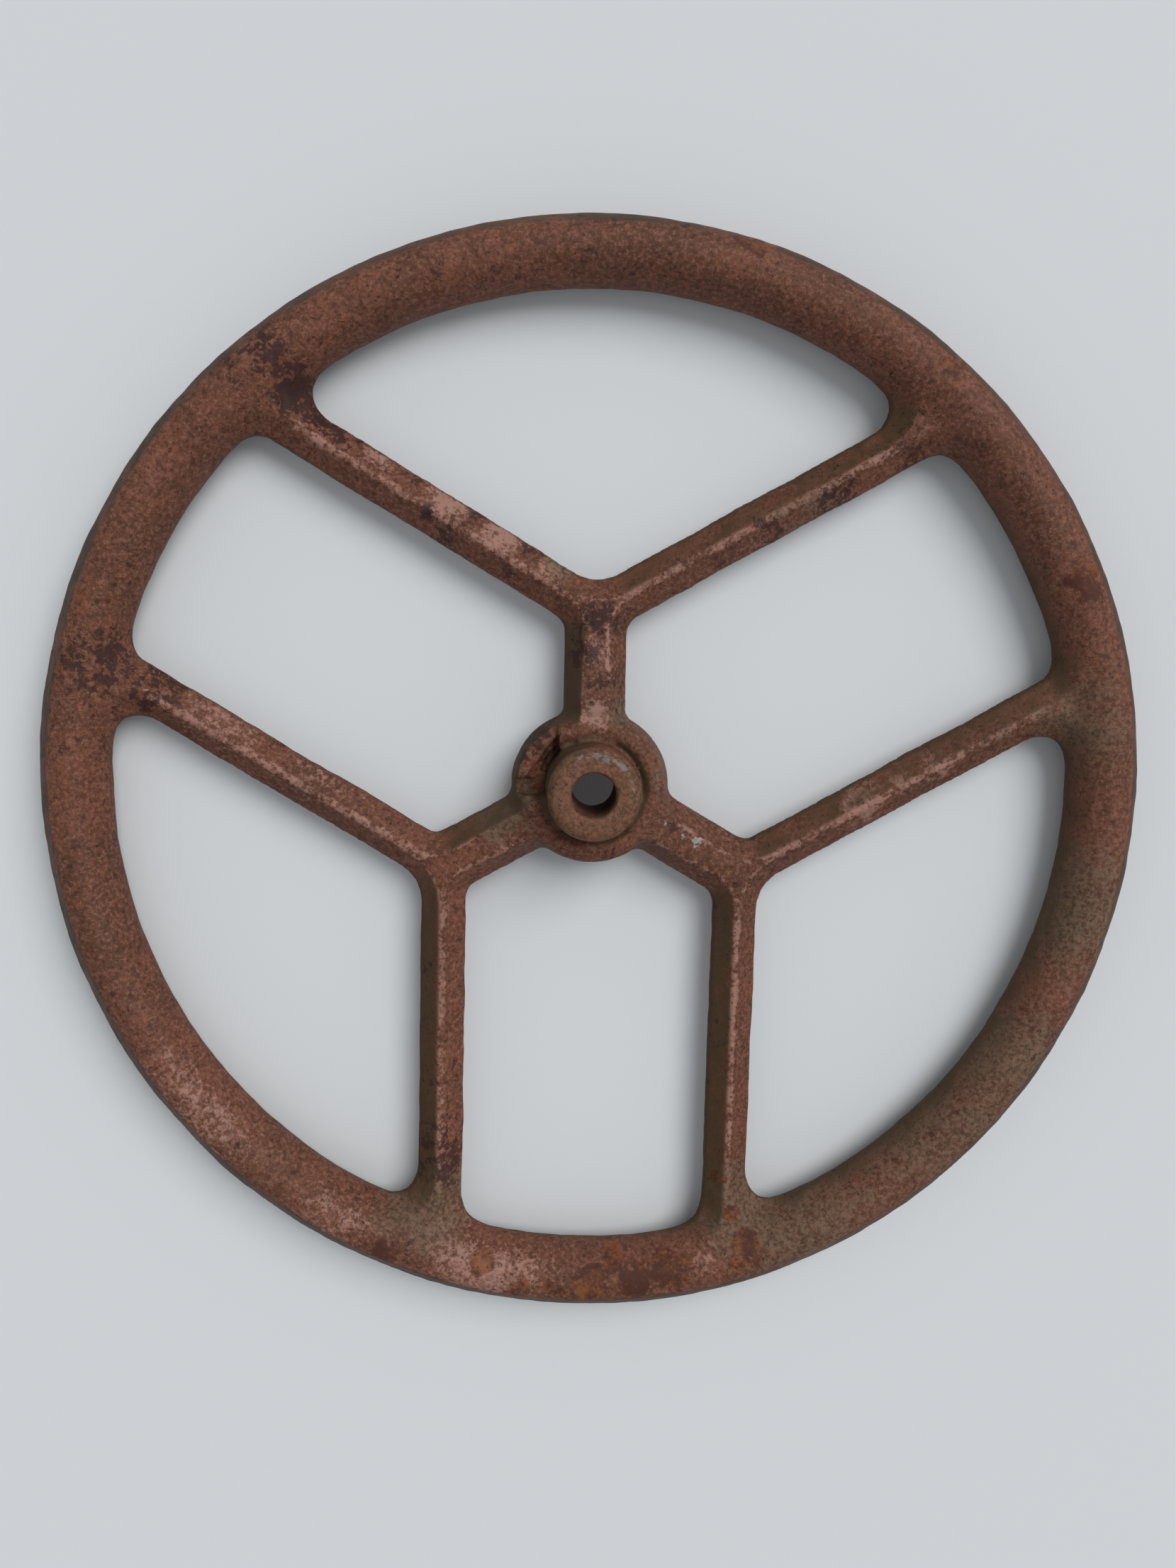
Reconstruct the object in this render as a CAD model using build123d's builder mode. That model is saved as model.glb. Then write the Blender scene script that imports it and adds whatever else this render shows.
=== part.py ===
"""Handwheel cast in one piece: an oval rim, three forked spokes and a flanged hub with a turned boss.

The wheel lies on the back of its rim. Z runs along the bore towards the boss, Z = 0 is the
plane that the rim rests on, and +Y points along the middle of one forked spoke.
"""
from build123d import *
from math import acos, asin, atan2, cos, degrees, radians, sin
import os

# Rim, all sizes in millimetres
rim_diameter = 400.0          # over the outer wall
rim_width = 23.4              # of the section, square to the bore axis
rim_depth = 27.0              # of the section, along the bore axis
crown_inset = 1.1             # the crowns' radius is this much less than half the width
facet_foot = 5.0              # ground facet on the outside, from here above the parting plane
facet_head = 11.2             # up to here, on the crown

# Forked spokes, measured at the parting plane unless said otherwise
spoke_count = 3
branch_offset = 54.1          # middle of a branch, square from the bore axis
branch_width = 17.2
stem_width = 23.2
fork_angle = 60.0             # between the stem and each of its two branches
spoke_edge = 2.0              # straight edge below the parting plane, down to the flat back
ridge_rise = 7.2              # ridge of a branch above the parting plane
facet_run = 7.2               # how far a sloping side runs in from the edge up to the ridge
stem_top_width = 10.4         # flat top of a stem at the hub, between its two ridges
stem_rise = 11.4              # the same flat top above the parting plane
web_overlap = 0.8             # how far the web runs into the rim and into the flange
margin = 0.4                  # kept between a cutter, or an edge looked for, and the faces beside it

# Rounded corners of the windows, in plan
crotch_radius = 16.0          # inside the fork
shoulder_radius = 7.0         # outside the fork, where a stem meets its branch
fan_corner_radius = 12.0      # at the rim, in the window inside a fork
bay_corner_radius = 12.0      # at the rim, in the window between two parallel branches
hub_fillet = 4.0              # where the sides of a stem meet the flange

# Hub, heights above the parting plane
bore_diameter = 15.4
bore_front_chamfer = 0.5
bore_back_chamfer = 2.0
boss_height = 33.5            # front face of the boss
boss_face_radius = 13.0       # flat ring that a nut or washer bears on
boss_radius = 16.5
boss_shoulder = 3.4           # drop of the rounded shoulder below the face
boss_bead = 1.6               # height of the bead below the shoulder
boss_neck_radius = 15.6
neck_foot_radius = 17.6       # the neck widens towards the groove
groove_radius = 18.6
groove_height = 10.2          # floor of the groove
crest_radius = 21.0           # rounded crest of the flange
crest_height = 12.6
flange_edge_radius = 25.4
flange_edge_height = 11.4
flange_wall_radius = 26.7
flange_wall_height = 9.4
flange_draft = 1.7            # the flange is this much wider at its back, the moulder's draft

# Lug on the flange, and the pocket that parts it from the boss
lug_normal = 150.0            # direction that the lug's straight inner side faces away from
lug_inner_distance = 22.0     # from the bore axis out to that inner side
lug_height = 9.6              # rough top of the lug
pocket_floor = 4.4
pocket_side = 12.2            # the pocket stops this far to the side of the stem's middle
mouth_top = 3.0               # mouth of the pocket, along Y from the bore axis
mouth_bottom = -1.8
slot_width = 1.5              # narrow slot along the foot of the boss
slot_floor = 1.2
slot_start = 124.0
slot_sweep = 29.0

# Worked out from the sizes above
rim_radius = rim_diameter / 2
rim_middle_radius = rim_radius - rim_width / 2
web_outer_radius = rim_radius - rim_width + web_overlap
web_inner_radius = flange_edge_radius - web_overlap
parting = rim_depth / 2
spoke_back = parting - spoke_edge
bay_half_width = branch_offset - branch_width / 2
fan_edge_offset = branch_offset + branch_width / 2
flange_base_radius = flange_wall_radius + flange_draft
lug_reach = flange_base_radius + stem_width / 2
bore_radius = bore_diameter / 2
hub_front = parting + boss_height
fork_radius = branch_offset / sin(radians(fork_angle))
step = 360.0 / spoke_count
facet_angle = degrees(atan2(facet_run, ridge_rise))
cutter_rise = ridge_rise + margin


def polar(radius, angle):
    """Point at a radius and an angle in degrees, in the plan of the wheel."""
    return (radius * cos(radians(angle)), radius * sin(radians(angle)))


def turned(height, angle):
    """Level plane at a height whose X axis points along an angle in degrees."""
    return Plane(origin=(0, 0, height), x_dir=(*polar(1, angle), 0), z_dir=(0, 0, 1))


def ring_edges(part, inner, outer, low, high):
    """Edges whose middle lies between two radii and two heights above the parting plane."""
    return part.edges().filter_by(
        lambda edge: inner < Vector(edge.center().X, edge.center().Y).length < outer
        and low < edge.center().Z - parting < high
    )


def lug_line_x(across):
    """How far the lug's inner side lies towards -X, at a distance along Y."""
    return (lug_inner_distance - across * sin(radians(lug_normal))) / -cos(radians(lug_normal))


def lug_line_y(across):
    """How far the lug's inner side lies towards +Y, at a distance towards -X."""
    return (lug_inner_distance + across * cos(radians(lug_normal))) / sin(radians(lug_normal))


def hub_point(radius, height):
    """Point of the hub's profile, with the height above the parting plane."""
    return (radius, parting + height)


# Corners of the windows, seen from the bore axis
half_step = step / 2
crotch = fan_edge_offset / sin(radians(fork_angle))
fan_corner_angle = fork_angle - degrees(asin(fan_edge_offset / web_outer_radius))
bay_corner_angle = degrees(asin(bay_half_width / web_outer_radius))
bay_hub_angle = degrees(acos(stem_width / 2 / web_inner_radius)) - (90 - half_step)
fork_top_width = stem_width - 2 * facet_run
shoulder = (stem_width / 2 + bay_half_width * cos(radians(half_step))) / sin(radians(half_step))
crown_radius = rim_width / 2 - crown_inset
crown_lift = parting - crown_radius
flank_shift = (crown_lift**2 - crown_inset**2) / (2 * crown_inset)
flank_radius = rim_width / 2 + flank_shift
flank_turn = degrees(atan2(crown_lift, flank_shift))
facet_foot_turn = degrees(asin(facet_foot / flank_radius))
facet_head_turn = degrees(asin((facet_head - crown_lift) / crown_radius))
bead_foot = boss_height - boss_shoulder - boss_bead

with BuildPart() as handwheel:
    # Web plate out to the middle of the rim, later opened by the windows
    with BuildSketch(Plane.XY.offset(spoke_back)):
        Circle(rim_middle_radius)
    extrude(amount=spoke_edge + ridge_rise)

    # Windows inside the forks: straight up to the parting plane, then widening up to the ridges
    for index in range(spoke_count):
        with BuildSketch(turned(parting, 90 + index * step)) as fan:
            with BuildLine():
                Line((crotch, 0), polar(web_outer_radius, fan_corner_angle))
                ThreePointArc(
                    polar(web_outer_radius, fan_corner_angle),
                    (web_outer_radius, 0),
                    polar(web_outer_radius, -fan_corner_angle),
                )
                Line(polar(web_outer_radius, -fan_corner_angle), (crotch, 0))
            make_face()
            fillet(fan.vertices().sort_by(SortBy.DISTANCE)[0], crotch_radius)
            fillet(fan.vertices().sort_by(SortBy.DISTANCE)[-2:], fan_corner_radius)
        extrude(amount=-spoke_edge, mode=Mode.SUBTRACT)
        extrude(fan.sketch, amount=cutter_rise, taper=-facet_angle, mode=Mode.SUBTRACT)

    # Windows between the parallel branches of neighbouring forks, bounded by the flange inside
    for index in range(spoke_count):
        with BuildSketch(turned(parting, 90 + half_step + index * step)) as bay:
            with BuildLine():
                ThreePointArc(
                    polar(web_inner_radius, -bay_hub_angle),
                    (web_inner_radius, 0),
                    polar(web_inner_radius, bay_hub_angle),
                )
                Polyline(
                    polar(web_inner_radius, bay_hub_angle),
                    (shoulder, bay_half_width),
                    polar(web_outer_radius, bay_corner_angle),
                )
                ThreePointArc(
                    polar(web_outer_radius, bay_corner_angle),
                    (web_outer_radius, 0),
                    polar(web_outer_radius, -bay_corner_angle),
                )
                Polyline(
                    polar(web_outer_radius, -bay_corner_angle),
                    (shoulder, -bay_half_width),
                    polar(web_inner_radius, -bay_hub_angle),
                )
            make_face()
            fillet(bay.vertices().sort_by(SortBy.DISTANCE)[2:4], shoulder_radius)
            fillet(bay.vertices().sort_by(SortBy.DISTANCE)[-2:], bay_corner_radius)
        extrude(amount=-spoke_edge, mode=Mode.SUBTRACT)
        extrude(bay.sketch, amount=cutter_rise, taper=-facet_angle, mode=Mode.SUBTRACT)

    # Stems rise towards the hub, with a flat top between two ridges
    for index in range(spoke_count):
        stem_angle = 90 + index * step
        for distance, top_width, rise in (
            (crest_radius, stem_top_width, stem_rise),
            (fork_radius, fork_top_width, ridge_rise),
        ):
            across = Plane(
                origin=(*polar(distance, stem_angle), parting),
                x_dir=(*polar(1, stem_angle + 90), 0),
                z_dir=(*polar(1, stem_angle), 0),
            )
            with BuildSketch(across):
                with BuildLine():
                    Polyline(
                        (-stem_width / 2, -spoke_edge),
                        (-stem_width / 2, 0),
                        (-top_width / 2, rise),
                        (top_width / 2, rise),
                        (stem_width / 2, 0),
                        (stem_width / 2, -spoke_edge),
                        close=True,
                    )
                make_face()
        loft(ruled=True)

    # Rim: crowns of one radius in front and behind, flatter flanks, and the facet outside
    with BuildSketch(Plane.XZ):
        with BuildLine():
            front = CenterArc(
                (rim_middle_radius, parting + crown_lift),
                crown_radius,
                start_angle=facet_head_turn,
                arc_size=180 - flank_turn - facet_head_turn,
            )
            CenterArc(
                (rim_middle_radius + flank_shift, parting),
                flank_radius,
                start_angle=180 - flank_turn,
                arc_size=2 * flank_turn,
            )
            CenterArc(
                (rim_middle_radius, parting - crown_lift),
                crown_radius,
                start_angle=180 + flank_turn,
                arc_size=180 - 2 * flank_turn,
            )
            outside = CenterArc(
                (rim_middle_radius - flank_shift, parting),
                flank_radius,
                start_angle=-flank_turn,
                arc_size=flank_turn + facet_foot_turn,
            )
            Line(outside @ 1, front @ 0)
        make_face()
    revolve()

    # Hub: flange with a raised crest, groove, neck, bead and rounded shoulder
    with BuildSketch(Plane.XZ):
        with BuildLine():
            Polyline(
                (0, spoke_back),
                (flange_base_radius, spoke_back),
                hub_point(flange_wall_radius, flange_wall_height),
                hub_point(flange_edge_radius, flange_edge_height),
                hub_point(crest_radius, crest_height),
                hub_point(groove_radius, groove_height),
                hub_point(neck_foot_radius, groove_height),
                hub_point(boss_neck_radius, bead_foot - boss_bead),
                hub_point(boss_radius, bead_foot),
                hub_point(boss_radius, bead_foot + boss_bead),
            )
            EllipticalCenterArc(
                hub_point(boss_face_radius, bead_foot + boss_bead),
                boss_radius - boss_face_radius,
                boss_shoulder,
                start_angle=0,
                arc_size=90,
            )
            Polyline(
                hub_point(boss_face_radius, boss_height),
                hub_point(0, boss_height),
                (0, spoke_back),
            )
        make_face()
    revolve()

    # Sides of the stems flow into the flange
    flange_corners = ring_edges(
        handwheel,
        flange_wall_radius,
        flange_base_radius + margin,
        margin - spoke_edge,
        flange_wall_height - margin,
    )
    fillet(flange_corners, hub_fillet)

    # Bore through the hub, with broken edges
    with BuildSketch(Plane.XZ):
        with BuildLine():
            Polyline(
                (0, spoke_back),
                (bore_radius + bore_back_chamfer, spoke_back),
                (bore_radius, spoke_back + bore_back_chamfer),
                (bore_radius, hub_front - bore_front_chamfer),
                (bore_radius + bore_front_chamfer, hub_front),
                (0, hub_front),
                close=True,
            )
        make_face()
    revolve(mode=Mode.SUBTRACT)

    # Pocket between the lug and the foot of the boss, open at its lower end
    with BuildSketch(Plane.XY.offset(parting + pocket_floor)) as pocket:
        with BuildLine():
            Polyline(
                (-pocket_side, mouth_bottom),
                (-pocket_side, lug_line_y(pocket_side)),
                (-lug_line_x(mouth_top), mouth_top),
                (-lug_reach, mouth_top),
                (-lug_reach, mouth_bottom),
                close=True,
            )
        make_face()
        Circle(neck_foot_radius, mode=Mode.SUBTRACT)
    extrude(amount=boss_height, mode=Mode.SUBTRACT)

    # Lug: its rough top lies below the crest of the flange
    with BuildSketch(Plane.XY.offset(parting + lug_height)):
        with BuildLine():
            Polyline(
                (-pocket_side, lug_line_y(pocket_side)),
                (-pocket_side, lug_reach),
                (-lug_reach, mouth_top),
                (-lug_line_x(mouth_top), mouth_top),
                close=True,
            )
        make_face()
    extrude(amount=boss_height, mode=Mode.SUBTRACT)

    # Slot along the foot of the boss, in the floor of the pocket
    with BuildSketch(Plane.XY.offset(parting + slot_floor)):
        with BuildLine():
            slot_inside = CenterArc((0, 0), neck_foot_radius, slot_start, slot_sweep)
            slot_outside = CenterArc((0, 0), neck_foot_radius + slot_width, slot_start, slot_sweep)
            Line(slot_inside @ 0, slot_outside @ 0)
            Line(slot_inside @ 1, slot_outside @ 1)
        make_face()
    extrude(amount=pocket_floor - slot_floor, mode=Mode.SUBTRACT)

handwheel.part.label = "handwheel"
os.makedirs("parts", exist_ok=True)
export_step(handwheel.part, "parts/handwheel.step")
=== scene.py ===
"""Dresses the cast handwheel: one rough painted casting on a pale floor.

The casting is the level surface of one function of position, because a web with six windows
and a bore is no function of two parameters. Lengths inside the shape functions are in
millimetres, with z = 0 on the parting plane of the rim.
"""
import math

import bmesh
import bpy
import numpy as np
from mathutils import Matrix, Vector


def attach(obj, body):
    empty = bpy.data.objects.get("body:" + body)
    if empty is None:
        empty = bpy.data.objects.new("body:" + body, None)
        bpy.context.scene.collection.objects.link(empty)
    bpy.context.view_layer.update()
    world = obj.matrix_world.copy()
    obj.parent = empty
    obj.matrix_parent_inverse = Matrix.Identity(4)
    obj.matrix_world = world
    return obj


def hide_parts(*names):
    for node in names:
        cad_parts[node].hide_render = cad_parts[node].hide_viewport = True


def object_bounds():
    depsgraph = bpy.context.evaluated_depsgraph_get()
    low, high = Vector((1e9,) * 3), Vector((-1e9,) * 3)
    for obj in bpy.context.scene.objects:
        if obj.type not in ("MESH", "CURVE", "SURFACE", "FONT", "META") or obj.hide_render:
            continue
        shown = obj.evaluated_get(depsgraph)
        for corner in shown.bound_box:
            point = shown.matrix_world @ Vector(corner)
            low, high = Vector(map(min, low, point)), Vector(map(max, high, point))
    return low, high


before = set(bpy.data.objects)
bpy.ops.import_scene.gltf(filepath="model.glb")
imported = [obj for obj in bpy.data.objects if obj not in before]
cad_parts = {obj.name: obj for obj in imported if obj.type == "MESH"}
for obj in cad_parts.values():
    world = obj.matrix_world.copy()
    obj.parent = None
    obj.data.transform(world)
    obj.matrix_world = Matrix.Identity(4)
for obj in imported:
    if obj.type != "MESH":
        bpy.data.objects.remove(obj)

bl_info = {
    "name": "Cast handwheel",
    "version": (1, 0, 0),
    "blender": (4, 5, 0),
    "location": "3D View > Sidebar > Handwheel",
    "description": "Builds the painted casting of a handwheel, its floor, lamps and camera",
    "category": "Add Mesh",
}

LOW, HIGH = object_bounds()
NODE = "handwheel"
MM = 0.001

# Sizes of the casting in millimetres, heights above the parting plane
RIM_RADIUS = 200.0
RIM_HALF_WIDTH = 11.7
RIM_HALF_DEPTH = 13.5
BRANCH_OFFSET = 54.1
BRANCH_HALF_WIDTH = 8.6
STEM_HALF_WIDTH = 11.6
RIDGE_RISE = 7.2
FACET_RUN = 7.8
STEM_RISE = 11.4
SPOKE_BACK = -2.0
BORE_RADIUS = 7.7
BACK_CHAMFER = 2.0
BOSS_HEIGHT = 33.5
STEM_ANGLES = (90.0, 210.0, 330.0)
BAY_CORNERS = ((150.0, 14.0), (270.0, 19.0), (30.0, 14.0))
FAN_CORNER = 12.5
CROTCH_RADIUS = 16.0
SHOULDER_RADIUS = 7.0
WEB_OVERLAP = 0.8
RIM_BLEND = 6.0
HUB_BLEND = 3.0
RIPPLE_INSET = 0.14
FACET_LEAN = 36.0
LUG_ANGLE = 150.0
POCKET_INNER = 21.6
POCKET_SIDE = 12.6
POCKET_FLOOR = 5.6
POCKET_FOOT = 3.0
MOUTH_TOP = 2.6
LUG_HEIGHT = 10.4
SLOT_MIDDLE = 18.7
SLOT_HALF_WIDTH = 0.95
CLOSEST_TO_BOX = 0.01
HUB_PROFILE = (
    (0.0, -2.0), (28.4, -2.0), (28.2, 0.0), (26.8, 8.2), (26.2, 10.2), (25.2, 11.5),
    (23.8, 12.3), (21.8, 12.7), (20.2, 12.3), (19.0, 11.3), (18.2, 10.5), (17.3, 10.9),
    (16.0, 19.0), (15.5, 27.0), (16.3, 28.2), (16.5, 29.0), (16.4, 30.4), (15.9, 31.6),
    (14.9, 32.7), (13.4, 33.4), (12.0, 33.5), (0.0, 33.5),
)


# Shape functions: each gives a distance-like number, below zero inside the metal


def blend_in(a, b, reach):
    """Union of two solids whose meeting line is filled over a reach (quadratic smooth minimum)."""
    h = np.clip(0.5 + 0.5 * (b - a) / reach, 0.0, 1.0)
    return b + (a - b) * h - reach * h * (1.0 - h)


def blend_cut(a, b, reach):
    """Common part of two solids whose meeting edge is rounded over a reach."""
    return -blend_in(-a, -b, reach)


def rounded_corner(a, b, cosine, radius):
    """Common part of two half-planes at distances a and b, the cosine that between their normals.

    Beyond both normals drawn from the centre of the corner's circle the distance is measured
    from that centre; elsewhere it is the larger of the two.
    """
    s, t = a + radius, b + radius
    inside = (s - t * cosine > 0) & (t - s * cosine > 0)
    square = (s * s + t * t - 2 * s * t * cosine) / np.maximum(1 - cosine * cosine, 1e-6)
    return np.where(inside, np.sqrt(np.maximum(square, 0.0)) - radius, np.maximum(a, b))


def waves(x, y, z, length, seed, count=20):
    """Smooth even noise: the mean of sine waves of about one length in random directions."""
    rng = np.random.default_rng(seed)
    total = np.zeros_like(x)
    for _ in range(count):
        way = rng.normal(size=3)
        way *= 2 * math.pi / length * rng.uniform(0.6, 1.5) / np.linalg.norm(way)
        total += np.sin(way[0] * x + way[1] * y + way[2] * z + rng.uniform(0, 2 * math.pi))
    return total / math.sqrt(count / 2)


def turn(x, y, degrees):
    """Coordinates along and across a direction."""
    c, s = math.cos(math.radians(degrees)), math.sin(math.radians(degrees))
    return x * c + y * s, -x * s + y * c


def window_distance(x, y, radius):
    """Distance in plan to the nearest window, below zero inside a window.

    A window is the common part of half-planes along the spokes and the disc inside the rim,
    with each corner rounded by its own radius.
    """
    ring = radius - (RIM_RADIUS - 2 * RIM_HALF_WIDTH + WEB_OVERLAP)
    nearest = np.full_like(x, 1e3)
    edge = BRANCH_OFFSET + BRANCH_HALF_WIDTH
    c60, s60 = 0.5, math.sqrt(0.75)
    safe = np.maximum(radius, 1.0)
    for angle in STEM_ANGLES:
        u, v = turn(x, y, angle)
        left = edge - (u * s60 - v * c60)
        right = edge - (u * s60 + v * c60)
        fan = rounded_corner(left, right, s60 * s60 - c60 * c60, CROTCH_RADIUS)
        for side, sign in ((left, 1.0), (right, -1.0)):
            cosine = -(u * s60 - sign * v * c60) / safe
            fan = np.maximum(fan, rounded_corner(side, ring, cosine, FAN_CORNER))
        nearest = np.minimum(nearest, fan)
    for angle, corner in BAY_CORNERS:
        u, v = turn(x, y, angle)
        bay = np.full_like(x, -1e3)
        for sign in (1.0, -1.0):
            branch = sign * v - (BRANCH_OFFSET - BRANCH_HALF_WIDTH)
            stem = STEM_HALF_WIDTH - (u * s60 - sign * v * c60)
            bay = np.maximum(bay, rounded_corner(branch, stem, c60, SHOULDER_RADIUS))
            bay = np.maximum(bay, rounded_corner(branch, ring, sign * v / safe, corner))
        nearest = np.minimum(nearest, bay)
    return nearest


def ridge_place(radius):
    """Height of the ridges and how far they lie in from the spoke's edges, at a radius."""
    near_hub = np.clip((66.0 - radius) / 42.0, 0.0, 1.0)
    near_hub = near_hub * near_hub * (3 - 2 * near_hub)
    return RIDGE_RISE + (STEM_RISE - RIDGE_RISE) * near_hub, FACET_RUN - 1.4 * near_hub


def web(x, y, z, radius):
    """Spokes: a plate whose top rises from the windows' edges along sloping sides to the ridges."""
    # Below zero in the metal, and above it outside the edge of a spoke
    window = -window_distance(x, y, radius)
    rise, run = ridge_place(radius)
    slope = (window * rise + z * run) / np.hypot(rise, run)
    top = blend_cut(slope, z - rise, 0.5)
    sides = blend_cut(top, window, 1.4)
    plate = blend_cut(sides, SPOKE_BACK - z, 1.0)
    return np.maximum(plate, radius - (RIM_RADIUS - RIM_HALF_WIDTH))


def facet_depth(x, y, z, radius):
    """Height above the ground facet along the outside of the rim, deeper towards lower left."""
    lean = math.radians(FACET_LEAN)
    toward = (x * -0.72 + y * -0.69) / np.maximum(radius, 1.0)
    depth = 0.34 + 0.34 * toward + 0.07 * waves(x, y, z, 60.0, 3)
    reach = math.hypot(RIM_HALF_WIDTH * math.cos(lean), RIM_HALF_DEPTH * math.sin(lean))
    along = (radius - (RIM_RADIUS - RIM_HALF_WIDTH)) * math.cos(lean) + z * math.sin(lean)
    return along - (reach - np.maximum(depth, 0.04))


def rim(x, y, z, radius):
    """Oval section carried round the bore, with a ground facet along the outside of its crown."""
    a, b = RIM_HALF_WIDTH, RIM_HALF_DEPTH
    p = radius - (RIM_RADIUS - a)
    q = np.sqrt((p / a) ** 2 + (z / b) ** 2)
    oval = q * (q - 1) / np.maximum(np.hypot(p / a**2, z / b**2), 1e-4)
    return np.maximum(oval, facet_depth(x, y, z, radius))


def hub(z, radius):
    """Turned profile: distance to its polygon in radius and height, below zero inside."""
    profile = np.array(HUB_PROFILE)
    square = np.full_like(radius, 1e9)
    inside = np.zeros(radius.shape, bool)
    for (r0, z0), (r1, z1) in zip(profile, np.roll(profile, -1, axis=0)):
        dr, dz = r1 - r0, z1 - z0
        along = np.clip(((radius - r0) * dr + (z - z0) * dz) / (dr * dr + dz * dz), 0.0, 1.0)
        if r0 + r1 > 0:
            gap = (radius - r0 - along * dr) ** 2 + (z - z0 - along * dz) ** 2
            square = np.minimum(square, gap)
        crosses = (z0 > z) != (z1 > z)
        if dz:
            inside ^= crosses & (radius < r0 + (z - z0) * dr / dz)
    return np.where(inside, -1.0, 1.0) * np.sqrt(square)


def pocket(x, y, z, radius):
    """Hollow between the lug and the boss, with its open mouth and the slot in its floor."""
    u, v = turn(x, y, LUG_ANGLE)
    rough = 0.35 * waves(x, y, z, 5.0, 11)
    inner = u - POCKET_INNER - 0.12 * v - 0.3 * rough
    upper = x + POCKET_SIDE + 0.4 * rough
    lower = -POCKET_FOOT - y + rough
    floor = POCKET_FLOOR + 0.5 * (u - 19.0) - z + 0.4 * rough
    hollow = blend_cut(blend_cut(inner, floor, 1.5), np.maximum(upper, lower), 1.0)
    mouth = np.maximum(y - MOUTH_TOP + rough, lower)
    mouth = np.maximum(mouth, np.maximum(POCKET_FLOOR - z - rough, x + 19.0))
    lug_top = np.maximum(np.maximum(LUG_HEIGHT + 0.5 * rough - z, upper + 1.0), 21.0 - u)
    lug_top = np.maximum(lug_top, 1.8 - y)
    slot = np.maximum(np.abs(radius - SLOT_MIDDLE) - SLOT_HALF_WIDTH, np.abs(v + 0.5) - 5.0)
    slot = np.maximum(slot, np.maximum(0.6 - z, 10.0 - u))
    hollow = np.minimum(np.minimum(hollow, mouth), np.minimum(lug_top, slot))
    return np.maximum(hollow, 17.6 - 0.04 * z - radius)


def casting(x, y, z):
    """Whole casting: web blended into rim and hub, less pocket and bore, with cast ripple."""
    radius = np.hypot(x, y)
    body = blend_in(web(x, y, z, radius), rim(x, y, z, radius), RIM_BLEND)
    low_part = np.clip((15.0 - z) / 3.0, 0.0, 1.0)
    lug_side = np.clip((x * -0.93 + y * 0.37) / np.maximum(radius, 1.0) * 3.0 - 2.0, 0.0, 1.0)
    flange = np.hypot(x + 0.3 * low_part, y + 0.7 * low_part) - 1.3 * lug_side * low_part
    body = blend_in(body, hub(z, np.maximum(flange, 0.0)), HUB_BLEND)
    near = radius < 60
    hollow = np.full_like(x, 1e3)
    hollow[near] = pocket(x[near], y[near], z[near], radius[near])
    body = blend_cut(body, -hollow, 0.8)
    rough = 0.08 * waves(x, y, z, 34.0, 1) + 0.05 * waves(x, y, z, 8.0, 2)
    turned_part = np.clip((21.0 - radius) / 3.0, 0.0, 1.0) * np.clip((z - 10.0) / 3.0, 0.0, 1.0)
    body = body + RIPPLE_INSET + rough * (1 - 0.8 * turned_part)
    front = BORE_RADIUS - radius + 0.7 * np.maximum(z - (BOSS_HEIGHT - 1.2), 0.0)
    back = BORE_RADIUS - radius + np.maximum(SPOKE_BACK + BACK_CHAMFER - z, 0.0)
    return np.maximum(body, np.maximum(front, back))


def gradient(function, points, reach=0.05):
    """Slope of a function at points, from its differences over a short reach."""
    slopes = []
    for axis in range(3):
        shift = np.zeros(3)
        shift[axis] = reach
        ahead, behind = points + shift, points - shift
        slopes.append((function(*ahead.T) - function(*behind.T)) / (2 * reach))
    return np.stack(slopes, axis=1)


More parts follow.
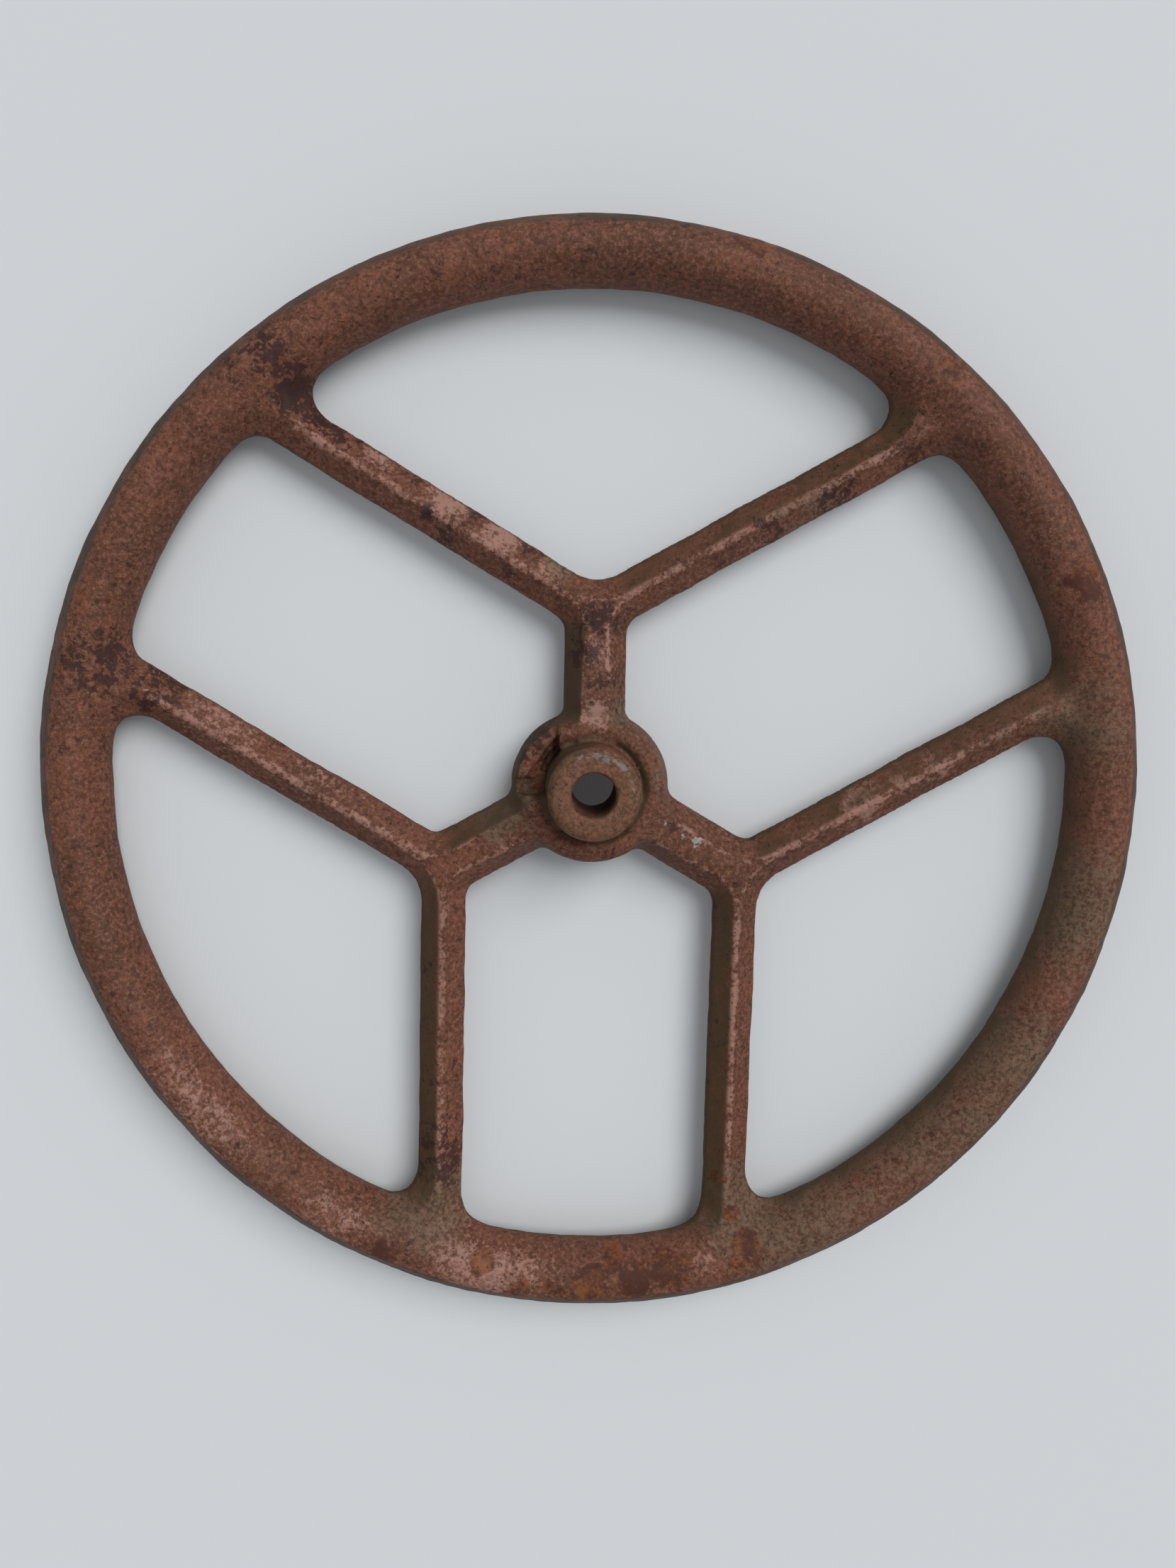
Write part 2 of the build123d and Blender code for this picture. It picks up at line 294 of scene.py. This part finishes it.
def level_surface(function, low, high, cell):
    """Closed mesh where a function is zero, as (points, quads).

    The function is sampled on a grid. Each cell that it changes sign in gets one point: the one
    that lies closest to the tangent planes at the crossings on the cell's edges, so that
    creases stay sharp. Each grid edge that it crosses gets one face, between the points of the
    four cells round that edge, turned to face the positive side.
    """
    counts = [int(math.ceil((h - l) / cell)) + 1 for l, h in zip(low, high)]
    axes = [l + cell * np.arange(n) for l, n in zip(low, counts)]
    value = np.empty(counts)
    step = 24
    for start in range(0, counts[0], step):
        x, y, z = np.meshgrid(axes[0][start:start + step], axes[1], axes[2], indexing="ij")
        value[start:start + step] = function(x, y, z)
    inside = value < 0
    edges, ways, feet = [], [], []
    for axis in range(3):
        first, second = [slice(None)] * 3, [slice(None)] * 3
        first[axis], second[axis] = slice(0, -1), slice(1, None)
        edge = np.argwhere(inside[tuple(first)] != inside[tuple(second)])
        far = edge.copy()
        far[:, axis] += 1
        a, b = value[tuple(edge.T)], value[tuple(far.T)]
        foot = np.array(low) + cell * edge
        foot[:, axis] += cell * a / (a - b)
        edges.append(edge)
        ways.append(a < 0)
        feet.append(foot)
    rings = []
    for axis, edge in enumerate(edges):
        b, c = [(1, 2), (2, 0), (0, 1)][axis]
        ring = []
        for db, dc in ((0, 0), (-1, 0), (-1, -1), (0, -1)):
            corner = edge.copy()
            corner[:, b] += db
            corner[:, c] += dc
            ring.append(corner)
        rings.append(np.stack(ring, axis=1))
    corners = np.concatenate(rings)
    flat = np.ravel_multi_index(tuple(corners.reshape(-1, 3).T), counts)
    used, member = np.unique(flat, return_inverse=True)
    member = member.reshape(-1, 4)
    foot = np.concatenate(feet)
    normal = gradient(function, foot)
    normal /= np.maximum(np.linalg.norm(normal, axis=1), 1e-9)[:, None]
    hits = np.bincount(member.ravel(), minlength=len(used)).astype(float)

    def gathered(amount):
        return np.bincount(member.ravel(), np.repeat(amount, 4), minlength=len(used))

    middle = np.stack([gathered(foot[:, i]) / hits for i in range(3)], axis=1)
    matrix = np.empty((len(used), 3, 3))
    target = np.empty((len(used), 3))
    offset = (normal * foot).sum(axis=1)
    for i in range(3):
        target[:, i] = gathered(normal[:, i] * offset)
        for j in range(3):
            matrix[:, i, j] = gathered(normal[:, i] * normal[:, j])
    hold = 0.08 * hits
    target -= np.einsum("nij,nj->ni", matrix, middle)
    matrix[:, range(3), range(3)] += hold[:, None]
    move = np.linalg.solve(matrix, target[:, :, None])[:, :, 0]
    origin = np.array(low) + cell * np.stack(np.unravel_index(used, counts), axis=1)
    points = np.clip(middle + move, origin, origin + cell)
    flip = np.concatenate(ways)
    quads = np.where(flip[:, None], member, member[:, ::-1])
    return points, quads


def settle(function, points, rounds, limit):
    """Moves points along the slope of a function onto its zero level, a limited way each round."""
    for _ in range(rounds):
        value = function(*points.T)
        slope = gradient(function, points)
        size = np.maximum((slope * slope).sum(axis=1), 0.05)
        move = slope * (-value / size)[:, None]
        length = np.maximum(np.linalg.norm(move, axis=1), 1e-9)
        points = points + move * np.minimum(1.0, limit / length)[:, None]
    return points


def split_near_hub(points, quads, radius):
    """Splits the edges inside a radius in two, and the faces with them, for finer detail there."""
    mesh = bpy.data.meshes.new("coarse")
    mesh.from_pydata(points.tolist(), [], quads.tolist())
    work = bmesh.new()
    work.from_mesh(mesh)
    near = [e for e in work.edges if all(v.co.xy.length < radius for v in e.verts)]
    bmesh.ops.subdivide_edges(work, edges=near, cuts=1, use_grid_fill=True)
    work.to_mesh(mesh)
    work.free()
    return mesh


def mesh_points(mesh):
    """Points of a mesh as one array."""
    flat = np.empty(len(mesh.vertices) * 3)
    mesh.vertices.foreach_get("co", flat)
    return flat.reshape(-1, 3)


def paint_layer(mesh, name, values):
    """Stores one number per point on the mesh, for its material to read."""
    layer = mesh.attributes.new(name, "FLOAT", "POINT")
    layer.data.foreach_set("value", np.asarray(values, np.float32))


def spots(points, places):
    """Sum of soft round spots: each falls from its strength at its place to none at its radius."""
    total = np.zeros(len(points))
    for x, y, radius, strength in places:
        near = 1 - ((points[:, 0] - x) ** 2 + (points[:, 1] - y) ** 2) / radius**2
        total = np.maximum(total, strength * np.clip(near, 0.0, 1.0))
    return total


# Where the finish differs, as (x, y, radius, strength) in millimetres in plan
DARK_PATCHES = (
    (-22, 14, 10, 0.9), (-19, 19, 6, 0.8), (-16, 24, 5, 0.6),
    (-115, 149, 12, 0.8), (-107, 136, 13, 1.0), (-99, 129, 11, 1.0), (-88, 122, 9, 0.9),
    (-66, 112, 9, 0.8), (-42, 98, 7, 0.9), (-24, 86, 8, 0.9), (-60, 96, 5, 1.0),
    (-55, 88, 6, 0.7), (-30, 74, 8, 0.6), (-126, 138, 14, 0.4),
    (0, 60, 12, 0.9), (-3, 48, 10, 0.9), (4, 38, 7, 0.8), (-12, 70, 9, 0.6),
    (-176, 40, 20, 0.8), (-158, 32, 16, 0.8), (-110, 14, 10, 0.5), (-70, -22, 10, 0.4),
    (60, 92, 12, 0.7), (86, 106, 14, 0.7), (112, 124, 14, 0.5),
    (-52, -140, 22, 0.7), (-53, -112, 14, 0.5), (-60, -70, 14, 0.4), (92, 8, 12, 0.5),
    (172, -96, 16, 0.4), (28, -14, 10, 0.4), (-64, -172, 12, 0.5), (10, -27, 8, 0.4),
)
RUST_SPOTS = (
    (-37, -180, 7, 1.0), (-74, -176, 8, 0.9), (11, -170, 5, 0.9), (12, -179, 6, 1.0),
    (4, -187, 10, 1.0), (20, -186, 10, 0.9), (34, -182, 11, 0.9), (62, -173, 10, 0.9),
    (57, -161, 5, 0.8), (-10, -190, 8, 0.8), (-24, -189, 8, 0.7), (84, -168, 8, 0.5),
    (52, 192, 12, 0.9), (171, 77, 11, 0.9), (-150, 118, 12, 0.5), (-176, 60, 12, 0.5),
    (120, 148, 14, 0.5), (52, -148, 8, 0.6), (11, 5, 9, 0.7),
)
OLIVE_PATCHES = (
    (174, 26, 30, 0.7), (150, 22, 20, 0.5), (172, -40, 36, 0.9), (152, -96, 36, 0.8),
    (130, -130, 46, 0.7), (84, -166, 40, 0.8), (56, -156, 26, 1.0), (-34, -12, 12, 1.0),
    (-27, -1, 9, 1.0), (28, 56, 22, 0.6), (70, 100, 30, 0.5), (-12, 80, 9, 0.9),
    (-58, -160, 26, 0.9), (10, 27, 7, 1.0), (-120, -146, 30, 0.3), (25, 4, 11, 0.6),
    (21, -15, 10, 0.5), (20, 17, 9, 0.5), (-18, -24, 9, 0.5), (0, -29, 9, 0.4),
)
SCUFFS = (
    (-77, 117, 10, 0.8), (-52, 103, 14, 1.0), (-34, 90, 12, 1.0), (-16, 78, 9, 0.8),
    (-34, -176, 36, 0.7), (0, 50, 10, 0.6), (-130, -112, 42, 0.6), (-90, -160, 30, 0.5),
    (-130, 26, 30, 0.6), (-96, 6, 26, 0.5), (60, 84, 14, 0.6), (88, 100, 12, 0.5),
    (-150, 40, 16, 0.5), (98, -4, 12, 0.8), (126, 10, 9, 0.7), (112, 4, 8, 0.6),
    (0, 26, 8, 0.8), (44, -170, 20, 0.5), (150, 96, 30, 0.3), (-30, -24, 10, 0.5),
)
CHALK_SPOTS = (
    (26, -12, 2.5, 0.9), (33, -17, 2.5, 0.9), (38, -19, 4, 1.0),
)


def finish_layers(points, normals):
    """Layers that place the finish: distances in millimetres, or shares from 0 to 1."""
    x, y, z = points.T
    radius = np.hypot(x, y)
    rise, run = ridge_place(radius)
    on_spoke = np.clip((172.0 - radius) / 8.0, 0, 1) * np.clip((radius - 27.0) / 4.0, 0, 1)
    on_spoke *= z > rise * 0.45
    # Painted shade: surfaces facing left, away from the sun, take a share of the dark olive.
    left = np.clip(normals @ np.array([-0.95, 0.25, 0.0]) * 1.25 - 0.05, 0, 1)
    on_rim = np.clip((radius - 168) / 10, 0, 1)
    # Painted shade: steep and downward-facing sides take a share of it too.
    low = np.clip(0.5 - normals[:, 2], 0, 1)
    neck = np.clip(1 - np.abs(radius - 18.2) / 2.2, 0, 1) * (z < 17) * (z > 5)
    wall = np.clip((radius - 24.8) / 1.0, 0, 1) * np.clip((31 - radius) / 2.0, 0, 1) * (z > -2)
    turned = np.clip((18.2 - radius) / 1.0, 0, 1) * np.clip((z - 22.0) / 4.0, 0, 1)
    top_edge = turned * np.clip(1 - np.abs(radius - 13.6) / 2.6, 0, 1)
    top_edge *= np.clip((x * 0.5 + y) / radius, 0, 1)
    outward = points + 3.0 * normals
    return {
        "ridge": np.clip(1 - np.abs(window_distance(x, y, radius) - run) / 2.4, 0, 1) * on_spoke,
        "hollow": np.clip((3.0 - casting(*outward.T)) / 1.5, 0, 1),
        "facet": np.clip(facet_depth(x, y, z, radius), -3.0, 1.0),
        # Grime and painted shade in one layer: dark olive on left-facing and steep sides.
        "grime_and_shade": np.clip(left * (1 - 0.55 * on_rim) + 0.5 * low, 0, 1.2),
        "dark": spots(points, DARK_PATCHES),
        "rust": spots(points, RUST_SPOTS),
        "olive": np.maximum(spots(points, OLIVE_PATCHES), np.maximum(neck, 0.5 * wall)),
        "scuff": spots(points, SCUFFS) * np.clip(normals[:, 2] * 1.6 - 0.3, 0, 1),
        "chalk": spots(points, CHALK_SPOTS),
        "turned": 0.6 * turned + 0.5 * top_edge,
    }


class Sock:
    """A node socket, or a number, that Python's operators combine into Math nodes."""

    def __init__(self, paint, link):
        self.paint, self.link = paint, link

    def _math(self, operation, *others):
        values = [o.link if isinstance(o, Sock) else o for o in (self, *others)]
        return self.paint.node("ShaderNodeMath", {"operation": operation}, dict(enumerate(values)))

    def _swap(self, operation, other):
        values = {0: other.link if isinstance(other, Sock) else other, 1: self.link}
        return self.paint.node("ShaderNodeMath", {"operation": operation}, values)

    def __add__(self, other):
        return self._math("ADD", other)

    def __sub__(self, other):
        return self._math("SUBTRACT", other)

    def __mul__(self, other):
        return self._math("MULTIPLY", other)

    def __rsub__(self, other):
        return self._swap("SUBTRACT", other)

    __radd__ = __add__
    __rmul__ = __mul__

    def most(self, other):
        return self._math("MAXIMUM", other)

    def step(self, low, high):
        """0 below low, 1 above high, and a smooth rise between."""
        return self.paint.node(
            "ShaderNodeMapRange", {"interpolation_type": "SMOOTHSTEP", "clamp": True},
            {"Value": self.link, "From Min": low, "From Max": high, "To Min": 0.0, "To Max": 1.0})


class Paint:
    """One material's node tree."""

    def __init__(self, name):
        self.material = bpy.data.materials.new(name)
        self.material.use_nodes = True
        self.tree = self.material.node_tree
        self.tree.nodes.clear()
        self.coordinates = self.node("ShaderNodeTexCoord", {}, {}, "Object")

    def node(self, kind, settings, values, output=0):
        """Makes a node: its settings first, then the values or links of its sockets."""
        made = self.tree.nodes.new(kind)
        for name, value in settings.items():
            setattr(made, name, value)
        for key, value in values.items():
            if isinstance(value, Sock):
                value = value.link
            if isinstance(value, bpy.types.NodeSocket):
                self.tree.links.new(value, made.inputs[key])
            else:
                made.inputs[key].default_value = value
        return Sock(self, made.outputs[output]) if len(made.outputs) else None

    def noise(self, scale, detail, roughness, distortion=0.0):
        """Noise of a number of grains per metre, from 0 to 1."""
        return self.node(
            "ShaderNodeTexNoise", {"noise_dimensions": "3D", "normalize": True},
            {"Vector": self.coordinates, "Scale": scale, "Detail": detail,
             "Roughness": roughness, "Distortion": distortion}, "Fac")

    def cells(self, scale):
        """Distance to the nearest of many scattered points."""
        return self.node(
            "ShaderNodeTexVoronoi", {"feature": "F1"},
            {"Vector": self.coordinates, "Scale": scale}, "Distance")

    def layer(self, name):
        """The numbers stored on the mesh under a name."""
        return self.node("ShaderNodeAttribute", {"attribute_name": name}, {}, "Fac")

    def mix(self, share, a, b):
        """Colour a, with a share of colour b over it."""
        made = self.tree.nodes.new("ShaderNodeMix")
        made.data_type = "RGBA"
        made.blend_type = "MIX"
        for key, value in (("Factor_Float", share), ("A_Color", a), ("B_Color", b)):
            target = next(i for i in made.inputs if i.identifier == key)
            if isinstance(value, Sock):
                self.tree.links.new(value.link, target)
            else:
                target.default_value = value
        return Sock(self, next(o for o in made.outputs if o.identifier == "Result_Color"))

    def finish(self, sockets, normal=None):
        """Feeds the surface shader and the output."""
        values = dict(sockets)
        if normal is not None:
            values["Normal"] = normal
        shader = self.node("ShaderNodeBsdfPrincipled", {}, values, "BSDF")
        self.node("ShaderNodeOutputMaterial", {}, {"Surface": shader})
        return self.material


def shade(hex_colour):
    """Linear colour of a six-digit screen colour."""
    parts = [int(hex_colour[i:i + 2], 16) / 255 for i in (0, 2, 4)]
    return (*[p / 12.92 if p <= 0.04045 else ((p + 0.055) / 1.055) ** 2.4 for p in parts], 1.0)


def casting_finish():
    """Red-brown oxide paint on rough iron: scuffed pale, chipped dark and rusted, with olive grime
    and painted shade darkening the sides that face left or steeply away.
    """
    p = Paint("worn_oxide_paint")
    ridge, hollow, facet = p.layer("ridge"), p.layer("hollow"), p.layer("facet")
    grime_and_shade, dark, rust = p.layer("grime_and_shade"), p.layer("dark"), p.layer("rust")
    olive, scuff, turned = p.layer("olive"), p.layer("scuff"), p.layer("turned")
    chalk = p.layer("chalk")
    broad = p.noise(26.0, 4.0, 0.6)
    middle = p.noise(95.0, 6.0, 0.66, 0.4)
    flakes = p.noise(330.0, 8.0, 0.72, 0.8)
    blobs = p.noise(170.0, 4.0, 0.55, 0.6)
    fine = p.noise(620.0, 5.0, 0.7)
    grain = p.noise(1500.0, 3.0, 0.6)
    pits = p.cells(420.0)
    wide_pits = p.cells(150.0)

    colour = p.mix(middle.step(0.32, 0.68), shade("5c3727"), shade("734634"))
    colour = p.mix(broad.step(0.42, 0.70) * 0.55, colour, shade("4e3121"))
    # Random pale and dark mottle in the paint's own tone.
    lights = (fine + (grain - 0.5) * 0.5).step(0.46, 0.70)
    colour = p.mix(lights * 0.60, colour, shade("8f6555"))
    dark_mottle = (1 - fine + (grain - 0.5) * 0.4).step(0.50, 0.68)
    colour = p.mix(dark_mottle * 0.70, colour, shade("35231a"))
    flecks = (flakes + (middle - 0.5) * 0.6 + (blobs - 0.5) * 0.3).step(0.60, 0.63)
    colour = p.mix(flecks * 0.55, colour, shade("33211b"))
    line = (ridge * 0.8 + (fine - 0.5) * 1.3 + (middle - 0.5) * 1.6).step(0.50, 0.95)
    pale = (scuff * 0.75 + (flakes - 0.5) * 1.3 + (fine - 0.5) * 0.7).step(0.26, 0.60)
    worn = (line * 0.75).most(pale * 0.85)
    colour = p.mix(worn * 0.85, colour, shade("a87f72"))
    dusty = (olive * 0.85 + (middle - 0.5) * 1.3 + (fine - 0.5) * 0.9).step(0.24, 0.70)
    dust = p.mix(fine.step(0.36, 0.60), shade("463828"), shade("6d5a48"))
    colour = p.mix(dusty * 0.70, colour, dust)
    # Painted shade mixed with olive grime: left-facing and steep sides darken, and the hollows add
    # grime.
    grimed_and_shaded = grime_and_shade * 0.85 + (middle - 0.5) * 1.1 + (fine - 0.5) * 0.9 + hollow * 0.4
    grimed_and_shaded = grimed_and_shaded.step(0.26, 0.74)
    colour = p.mix(grimed_and_shaded * 0.85, colour, shade("43341f"))
    ground = (facet + (fine - 0.5) * 0.7 + (middle - 0.5) * 1.2).step(-0.55, 0.05)
    colour = p.mix(ground * 0.85, colour, shade("3a3023"))
    chips = (blobs * 0.4 + flakes * 0.6 + (dark - 0.45) * 0.18).step(0.535, 0.56)
    colour = p.mix(chips * (0.35 + dark * 0.6), colour, shade("2e1b19"))
    oxide = p.mix((middle + (fine - 0.5) * 0.5).step(0.40, 0.66), shade("47251a"), shade("7d4a2a"))
    rusty = (rust * 0.70 + (blobs - 0.5) * 1.1 + (flakes - 0.5) * 0.6).step(0.36, 0.40)
    colour = p.mix(rusty * 0.85, colour, oxide)
    chalky = (chalk * 0.7 + (flakes - 0.5) * 1.8 + (fine - 0.5) * 0.8).step(0.46, 0.62)
    colour = p.mix(chalky * 0.75, colour, shade("a09d96"))
    bare = (turned + (flakes - 0.5) * 2.0 + (middle - 0.5) * 1.6).step(0.95, 1.20)
    face = p.mix((flakes + (fine - 0.5) * 0.6).step(0.36, 0.62), shade("4a3829"), shade("7a5940"))
    colour = p.mix(turned.step(0.1, 0.9) * 0.7, colour, face)
    colour = p.mix(bare * 0.55, colour, shade("77767a"))
    specks = (1 - pits.step(0.10, 0.24)) * middle.step(0.46, 0.60)
    blots = (1 - wide_pits.step(0.10, 0.22)) * broad.step(0.50, 0.60)
    colour = p.mix((specks * 0.6).most(blots * 0.6), colour, shade("2a1c16"))

    height = middle * 0.30 + fine * 0.34 + grain * 0.16
    height = height - chips * 0.10 - specks * 0.35 - blots * 0.3
    normal = p.node(
        "ShaderNodeBump", {}, {"Strength": 0.8, "Distance": 0.0008, "Height": height}, "Normal")
    rough = 0.62 + (fine - 0.5) * 0.3 - worn * 0.08 + grimed_and_shaded * 0.15 - bare * 0.15
    return p.finish(
        {"Base Color": colour, "Roughness": rough, "Specular IOR Level": 0.22}, normal)


class HandwheelSizes(bpy.types.PropertyGroup):
    """Sizes and colours of the dressed handwheel."""

    cell: bpy.props.FloatProperty(
        name="Cell", description="Spacing of the casting's surface points",
        default=0.0017, min=0.001, unit="LENGTH")
    hub_reach: bpy.props.FloatProperty(
        name="Fine hub", description="Radius inside which the points lie twice as close",
        default=0.034, min=0.0, unit="LENGTH")
    floor_colour: bpy.props.FloatVectorProperty(
        name="Floor", description="Colour of the floor", size=4, subtype="COLOR",
        default=(0.64, 0.655, 0.67, 1.0))


class HANDWHEEL_OT_casting(bpy.types.Operator):
    """Builds the rough painted casting in place of its plain solid"""

    bl_idname = "handwheel.casting"
    bl_label = "Casting"

    def execute(self, context):
        sizes = context.scene.handwheel_sizes
        parting = RIM_HALF_DEPTH
        low = [v / MM - 2.5 for v in LOW]
        high = [v / MM + 2.5 for v in HIGH]
        low[2] -= parting
        high[2] -= parting
        points, quads = level_surface(casting, low, high, sizes.cell / MM)
        mesh = split_near_hub(points, quads, sizes.hub_reach / MM)
        mesh.name = "casting"
        points = settle(casting, mesh_points(mesh), 2, 0.6)
        slope = gradient(casting, points)
        normals = slope / np.maximum(np.linalg.norm(slope, axis=1), 1e-9)[:, None]
        for name, values in finish_layers(points, normals).items():
            paint_layer(mesh, name, values)
        radius = np.hypot(points[:, 0], points[:, 1])
        points[:, :2] *= np.minimum(1.0, (RIM_RADIUS - 2 * CLOSEST_TO_BOX) / radius)[:, None]
        points[:, 2] = np.clip(
            points[:, 2], CLOSEST_TO_BOX - parting, BOSS_HEIGHT - CLOSEST_TO_BOX)
        points[:, 2] += parting
        mesh.vertices.foreach_set("co", (points * MM).ravel())
        mesh.shade_smooth()
        mesh.update()
        piece = bpy.data.objects.new("casting", mesh)
        context.scene.collection.objects.link(piece)
        mesh.materials.append(casting_finish())
        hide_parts(NODE)
        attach(piece, "root")
        return {"FINISHED"}


class HANDWHEEL_OT_stage(bpy.types.Operator):
    """Lays the pale floor and sets the lamps and the camera"""

    bl_idname = "handwheel.stage"
    bl_label = "Stage"

    def execute(self, context):
        scene = context.scene
        floor_mesh = bpy.data.meshes.new("floor")
        reach = 6.0
        floor_mesh.from_pydata(
            [(-reach, -reach, 0), (reach, -reach, 0), (reach, reach, 0), (-reach, reach, 0)],
            [], [(0, 1, 2, 3)])
        floor = bpy.data.objects.new("floor", floor_mesh)
        scene.collection.objects.link(floor)
        p = Paint("pale_floor")
        floor_mesh.materials.append(p.finish(
            {"Base Color": tuple(scene.handwheel_sizes.floor_colour), "Roughness": 0.9}))

        world = bpy.data.worlds.new("sky")
        world.use_nodes = True
        sky = world.node_tree.nodes["Background"]
        sky.inputs["Color"].default_value = (0.93, 0.97, 1.0, 1.0)
        sky.inputs["Strength"].default_value = 0.47
        scene.world = world
        lamp = bpy.data.lights.new("soft_sky", "SUN")
        lamp.energy = 2.0
        lamp.angle = math.radians(38)
        sun = bpy.data.objects.new("soft_sky", lamp)
        sun.rotation_euler = Vector((0.52, 0.55, 1.0)).to_track_quat("Z", "Y").to_euler()
        scene.collection.objects.link(sun)

        focal, long_side = 1800.0, 2212.0
        tilt, lean, roll = 0.12001, 0.0180, math.radians(-1.30)
        turn_in = (Matrix.Rotation(lean, 3, "Y") @ Matrix.Rotation(tilt, 3, "X")
                   @ Matrix.Rotation(roll, 3, "Z"))
        camera_data = bpy.data.cameras.new("camera")
        camera_data.sensor_width = 36.0
        camera_data.lens = 36.0 * focal / long_side
        camera_data.clip_start = 0.01
        camera = bpy.data.objects.new("camera", camera_data)
        place = turn_in.transposed() @ (Vector((-0.0076, 0.0009, 2.34227)) * RIM_RADIUS * MM)
        place.z += RIM_HALF_DEPTH * MM
        camera.matrix_world = Matrix.Translation(place) @ turn_in.transposed().to_4x4()
        scene.collection.objects.link(camera)
        scene.camera = camera
        scene.view_settings.view_transform = "Standard"
        return {"FINISHED"}


class HANDWHEEL_PT_panel(bpy.types.Panel):
    """Shows the handwheel's sizes and the buttons that build it"""

    bl_idname = "HANDWHEEL_PT_panel"
    bl_label = "Handwheel"
    bl_space_type = "VIEW_3D"
    bl_region_type = "UI"
    bl_category = "Handwheel"

    def draw(self, context):
        sizes = context.scene.handwheel_sizes
        for name in ("cell", "hub_reach", "floor_colour"):
            self.layout.prop(sizes, name)
        for operator in OPERATORS:
            self.layout.operator(operator.bl_idname)


OPERATORS = (HANDWHEEL_OT_casting, HANDWHEEL_OT_stage)
CLASSES = (HandwheelSizes, *OPERATORS, HANDWHEEL_PT_panel)


def register():
    for one in CLASSES:
        bpy.utils.register_class(one)
    bpy.types.Scene.handwheel_sizes = bpy.props.PointerProperty(type=HandwheelSizes)


def unregister():
    del bpy.types.Scene.handwheel_sizes
    for one in reversed(CLASSES):
        bpy.utils.unregister_class(one)


def main():
    """Builds every piece and the stage."""
    register()
    bpy.ops.handwheel.casting()
    bpy.ops.handwheel.stage()


if __name__ == "__main__":
    main()
